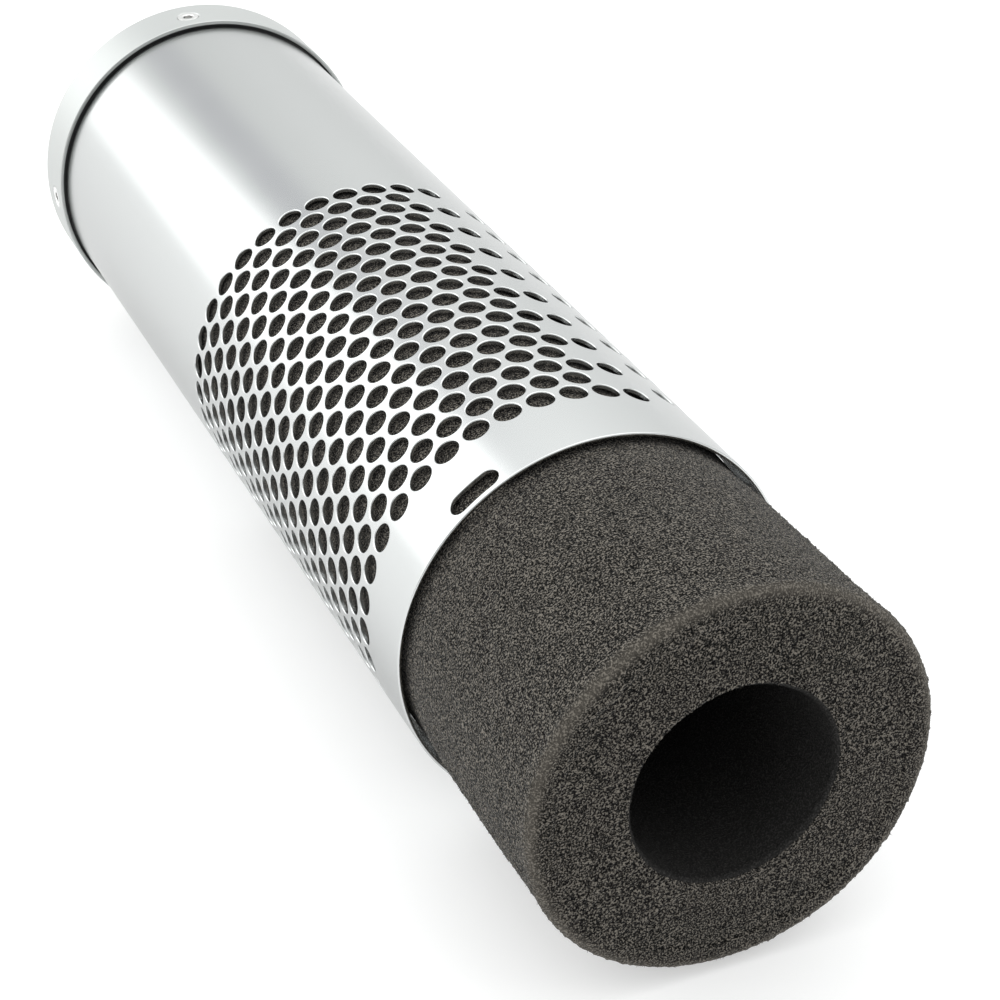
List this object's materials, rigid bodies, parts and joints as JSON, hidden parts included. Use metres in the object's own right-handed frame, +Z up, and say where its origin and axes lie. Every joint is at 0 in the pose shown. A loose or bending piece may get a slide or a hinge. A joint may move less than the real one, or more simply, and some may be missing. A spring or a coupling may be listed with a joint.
{
  "type": "pneumatic muffler",
  "caption": "Straight exhaust muffler: perforated aluminium sleeve, slide-out tubular foam element, clamp ring, end plug and threaded inlet nipple.",
  "frame": {"origin": "centre of the seating face of the inlet, where the machine's port face meets the port seal", "axes": "+Y along the tube's axis towards the machine, -Y out of the foam end, +Z up as the muffler lies in the picture"},
  "size_m": [0.0794, 0.3242, 0.0794],
  "materials": {
    "sleeve_aluminium": "satin, fine brushing along the tube",
    "turned_aluminium": "fine turned",
    "screw_steel": "bright stainless",
    "nipple_steel": "zinc plated",
    "seal_rubber": "matt black",
    "foam": "open-cell foam, charcoal brown"
  },
  "bodies": {
    "housing": {"perforated_sleeve": "sleeve_aluminium", "clamp_ring": "turned_aluminium", "end_plug": "turned_aluminium", "ring_screw_1": "screw_steel", "ring_screw_2": "screw_steel", "ring_screw_3": "screw_steel", "ring_screw_4": "screw_steel", "inlet_nipple": "nipple_steel", "plug_seal": "seal_rubber", "port_seal": "seal_rubber"},
    "foam": {"foam_element": "foam"}
  },
  "joints": [
    {"name": "foam_slide", "type": "slide", "parent": "housing", "child": "foam", "axis": [0, -1, 0], "range_m": [-0.051, 0.12]}
  ]
}
